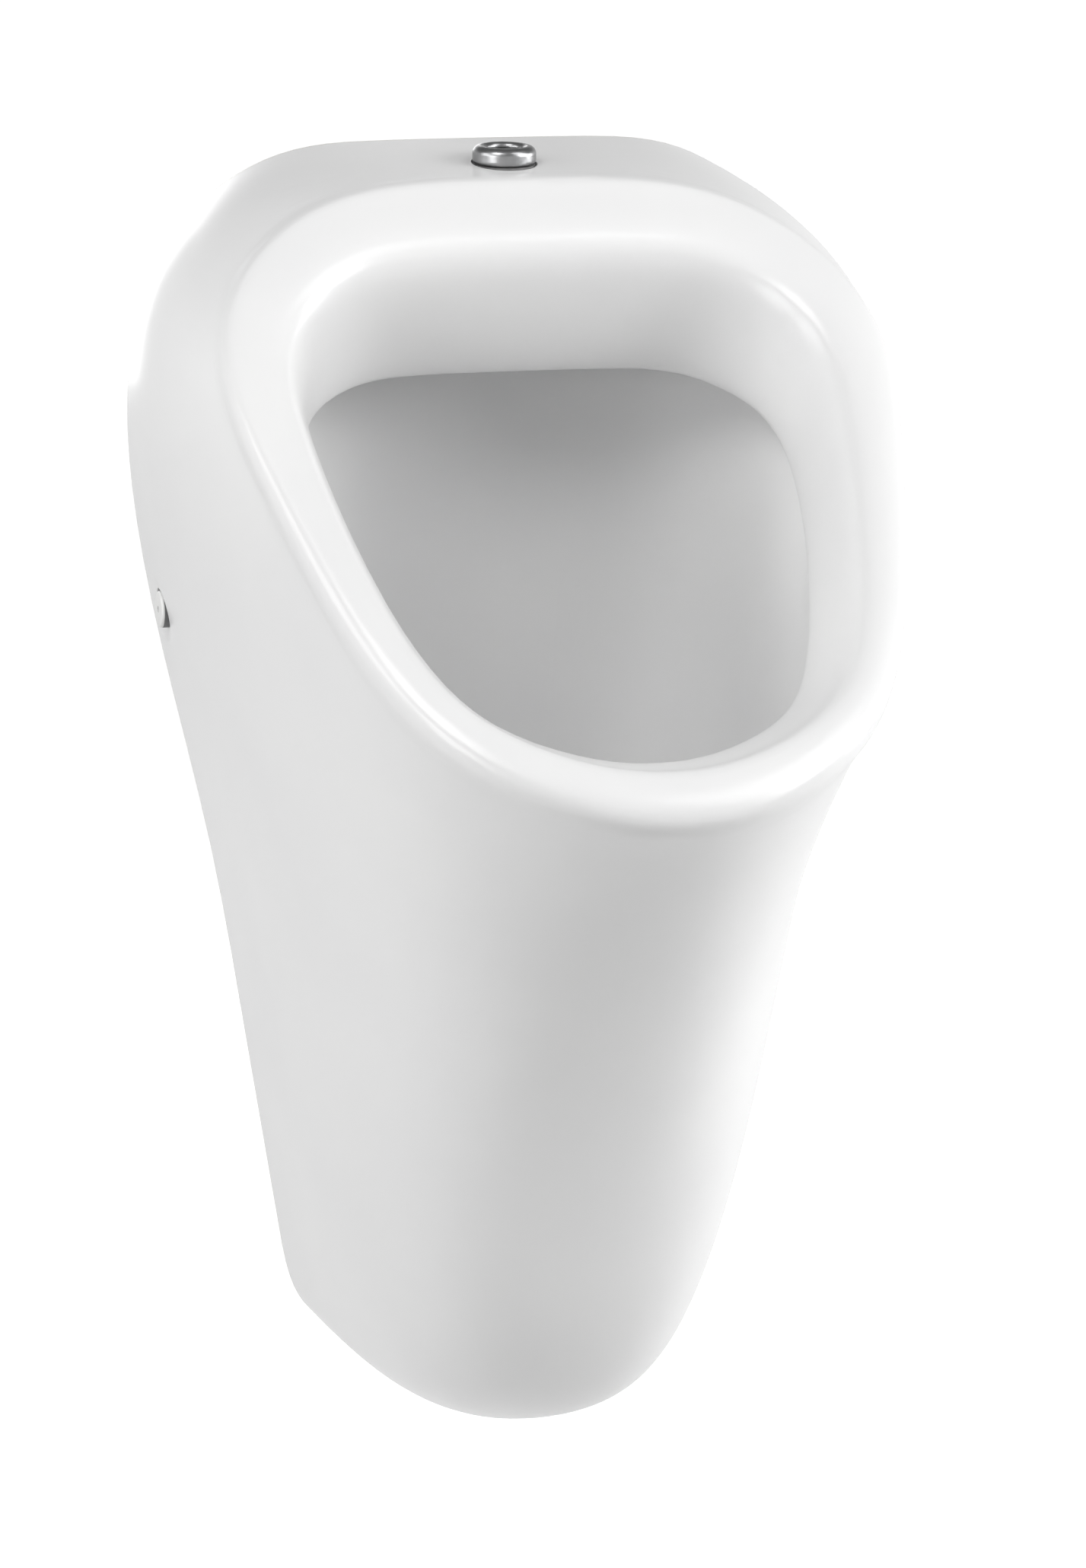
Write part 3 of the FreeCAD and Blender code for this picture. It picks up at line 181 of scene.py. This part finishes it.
def make_floor():
    """Plain white floor below the hanging object, which keeps its soft shadow and glows further out."""
    level = cad_low.z - FLOOR_DROP
    half = FLOOR_SIZE / 2
    mesh = bpy.data.meshes.new("floor")
    corners = [(-half, -half, level), (half, -half, level), (half, half, level), (-half, half, level)]
    mesh.from_pydata(corners, [], [(0, 1, 2, 3)])
    floor = bpy.data.objects.new("floor", mesh)
    bpy.context.scene.collection.objects.link(floor)
    material = bpy.data.materials.new("floor_white")
    material.use_nodes = True
    tree = material.node_tree
    tree.nodes.clear()
    paint = tree.nodes.new("ShaderNodeBsdfDiffuse")
    paint.inputs["Color"].default_value = (FLOOR_ALBEDO, FLOOR_ALBEDO, FLOOR_ALBEDO, 1)
    glow = tree.nodes.new("ShaderNodeEmission")
    glow.inputs["Color"].default_value = (1, 1, 1, 1)
    distance = tree.nodes.new("ShaderNodeVectorMath")
    distance.operation = "DISTANCE"
    distance.inputs[1].default_value = (0, 0, level)
    tree.links.new(tree.nodes.new("ShaderNodeTexCoord").outputs["Object"], distance.inputs[0])
    reach = range_node(tree, distance.outputs["Value"], FLOOR_NEAR, FLOOR_FAR, FLOOR_GLOW, FLOOR_GLOW_FAR)
    tree.links.new(math_node(tree, "MULTIPLY", seen_directly(tree), reach), glow.inputs["Strength"])
    both = tree.nodes.new("ShaderNodeAddShader")
    out = tree.nodes.new("ShaderNodeOutputMaterial")
    tree.links.new(paint.outputs[0], both.inputs[0])
    tree.links.new(glow.outputs[0], both.inputs[1])
    tree.links.new(both.outputs[0], out.inputs["Surface"])
    mesh.materials.append(material)


class Surface:
    """One material under construction: its node tree, its shader and its place on the object."""

    def __init__(self, name):
        self.material = bpy.data.materials.new(name)
        self.material.use_nodes = True
        self.tree = self.material.node_tree
        self.shader = self.tree.nodes["Principled BSDF"]
        self.place = self.tree.nodes.new("ShaderNodeTexCoord").outputs["Object"]
        self.last_bump = None

    def set(self, socket, value):
        """Sets one of the shader's values."""
        self.shader.inputs[socket].default_value = value

    def noise(self, grain, detail=2.0, stretch=(1, 1, 1)):
        """Noise with grains of about this size in metres."""
        node = self.tree.nodes.new("ShaderNodeTexNoise")
        node.inputs["Scale"].default_value = 1 / grain
        node.inputs["Detail"].default_value = detail
        place = self.place
        if stretch != (1, 1, 1):
            mapping = self.tree.nodes.new("ShaderNodeMapping")
            mapping.inputs["Scale"].default_value = stretch
            self.tree.links.new(place, mapping.inputs["Vector"])
            place = mapping.outputs["Vector"]
        self.tree.links.new(place, node.inputs["Vector"])
        return node.outputs["Fac"]

    def spread(self, value, low, high):
        """Value from the middle of a noise, stretched to run from low to high."""
        node = self.tree.nodes.new("ShaderNodeMapRange")
        node.inputs["From Min"].default_value = NOISE_LOW
        node.inputs["From Max"].default_value = NOISE_HIGH
        node.inputs["To Min"].default_value = low
        node.inputs["To Max"].default_value = high
        self.tree.links.new(value, node.inputs["Value"])
        return node.outputs["Result"]

    def colours(self, value, first, second):
        """Base colour that goes from the first to the second with the noise."""
        node = self.tree.nodes.new("ShaderNodeMix")
        node.data_type = "RGBA"
        node.inputs["A"].default_value = (*first, 1)
        node.inputs["B"].default_value = (*second, 1)
        share = self.spread(value, 0, 1)
        self.tree.links.new(share, node.inputs["Factor"])
        self.tree.links.new(node.outputs["Result"], self.shader.inputs["Base Color"])

    def roughness(self, value, low, high):
        """Roughness that goes from low to high with the noise."""
        self.tree.links.new(self.spread(value, low, high), self.shader.inputs["Roughness"])

    def cover(self, share, colour, roughness):
        """Lays another finish over the colours and the roughness, as far as the share says."""
        layers = (("RGBA", "Base Color", (*colour, 1)), ("FLOAT", "Roughness", roughness))
        for data_type, name, value in layers:
            socket = self.shader.inputs[name]
            node = self.tree.nodes.new("ShaderNodeMix")
            node.data_type = data_type
            inputs = [put for put in node.inputs if put.enabled]
            outputs = [put for put in node.outputs if put.enabled]
            self.tree.links.new(share, inputs[0])
            self.tree.links.new(socket.links[0].from_socket, inputs[1])
            inputs[2].default_value = value
            self.tree.links.new(outputs[0], socket)

    def bump(self, value, height):
        """Bump whose highest point is this height in metres; a second one adds to the first."""
        node = self.tree.nodes.new("ShaderNodeBump")
        node.inputs["Strength"].default_value = 1
        node.inputs["Distance"].default_value = height
        self.tree.links.new(value, node.inputs["Height"])
        if self.last_bump is not None:
            self.tree.links.new(self.last_bump, node.inputs["Normal"])
        self.last_bump = node.outputs["Normal"]
        self.tree.links.new(self.last_bump, self.shader.inputs["Normal"])


def glaze():
    """White glaze with a faint waviness, bare along the edge at the wall."""
    surface = Surface("glaze")
    surface.colours(surface.noise(grain=0.09), first=(0.83, 0.83, 0.832), second=(0.86, 0.86, 0.858))
    surface.roughness(surface.noise(grain=0.03), low=0.285, high=0.33)
    surface.set("Coat Weight", 0.25)
    surface.set("Coat Roughness", 0.18)
    surface.bump(surface.noise(grain=0.05), height=0.00012)
    surface.bump(surface.noise(grain=0.0024), height=0.0000015)
    place = surface.tree.nodes.new("ShaderNodeSeparateXYZ")
    surface.tree.links.new(surface.place, place.inputs[0])
    bare = range_node(surface.tree, place.outputs["Y"], start=-BARE_EDGE, end=-BARE_EDGE / 2, low=0, high=1)
    surface.cover(bare, colour=(0.78, 0.76, 0.72), roughness=0.7)
    return surface.material


def chrome():
    """Satin chrome, its base colour set darker than chrome's own as painted dark reflections."""
    surface = Surface("chrome")
    surface.set("Metallic", 1)
    # Painted reflection: the base colour is kept below chrome's own, standing in for dark surroundings
    # mirrored in the metal.
    surface.colours(surface.noise(grain=0.008), first=(0.30, 0.305, 0.31), second=(0.37, 0.37, 0.375))
    surface.roughness(surface.noise(grain=0.002), low=0.29, high=0.35)
    surface.bump(surface.noise(grain=0.003), height=0.000004)
    return surface.material


def brass():
    """Turned brass, with fine marks around its axis."""
    surface = Surface("brass")
    surface.set("Metallic", 1)
    surface.colours(surface.noise(grain=0.006), first=(0.66, 0.49, 0.22), second=(0.78, 0.60, 0.29))
    surface.roughness(surface.noise(grain=0.0015, stretch=(1, 1, 12)), low=0.29, high=0.40)
    surface.bump(surface.noise(grain=0.0008, stretch=(1, 1, 14)), height=0.00001)
    return surface.material


def zinc_steel():
    """Zinc-plated steel, with its mottled grain."""
    surface = Surface("zinc_steel")
    surface.set("Metallic", 1)
    mottle = surface.noise(grain=0.004, detail=6)
    surface.colours(mottle, first=(0.52, 0.53, 0.55), second=(0.68, 0.69, 0.71))
    surface.roughness(surface.noise(grain=0.003, detail=4), low=0.29, high=0.45)
    surface.bump(surface.noise(grain=0.0012), height=0.000008)
    return surface.material


def stainless_steel():
    """Brushed stainless steel."""
    surface = Surface("stainless_steel")
    surface.set("Metallic", 1)
    surface.colours(surface.noise(grain=0.004), first=(0.64, 0.64, 0.64), second=(0.74, 0.74, 0.74))
    surface.roughness(surface.noise(grain=0.001, stretch=(1, 16, 1)), low=0.29, high=0.38)
    surface.bump(surface.noise(grain=0.0007, stretch=(1, 18, 1)), height=0.000006)
    return surface.material


def rubber():
    """Grey rubber."""
    surface = Surface("rubber")
    surface.colours(surface.noise(grain=0.004), first=(0.13, 0.13, 0.132), second=(0.18, 0.18, 0.18))
    surface.roughness(surface.noise(grain=0.002), low=0.55, high=0.75)
    surface.bump(surface.noise(grain=0.0006, detail=4), height=0.00003)
    return surface.material


def white_plastic():
    """White moulded plastic."""
    surface = Surface("white_plastic")
    surface.colours(surface.noise(grain=0.03), first=(0.80, 0.80, 0.79), second=(0.85, 0.85, 0.84))
    surface.roughness(surface.noise(grain=0.004), low=0.29, high=0.4)
    surface.bump(surface.noise(grain=0.0009, detail=3), height=0.000012)
    return surface.material


def grey_plastic():
    """Grey plastic, with faint marks along the pipe."""
    surface = Surface("grey_plastic")
    surface.colours(surface.noise(grain=0.02), first=(0.36, 0.37, 0.38), second=(0.44, 0.45, 0.46))
    surface.roughness(surface.noise(grain=0.005, stretch=(1, 0.1, 1)), low=0.35, high=0.5)
    surface.bump(surface.noise(grain=0.001, stretch=(1, 0.08, 1)), height=0.000012)
    return surface.material


def dress_nodes():
    """Gives every CAD node the material of its slot in the record."""
    makers = (glaze, chrome, brass, zinc_steel, stainless_steel, rubber, white_plastic, grey_plastic)
    finished = {make.__name__: make() for make in makers}
    for subpart in frame["record"]["subparts"]:
        piece = nodes[subpart["node"]]
        for slot in piece.material_slots:
            slot.material = finished[subpart["material_slot"]]


make_camera()
make_world()
make_floor()
for lamp_name, (lamp_azimuth, lamp_elevation, lamp_power) in LAMPS.items():
    make_lamp(lamp_name, lamp_azimuth, lamp_elevation, lamp_power)
dress_nodes()

bpy.context.scene.view_settings.view_transform = "Standard"
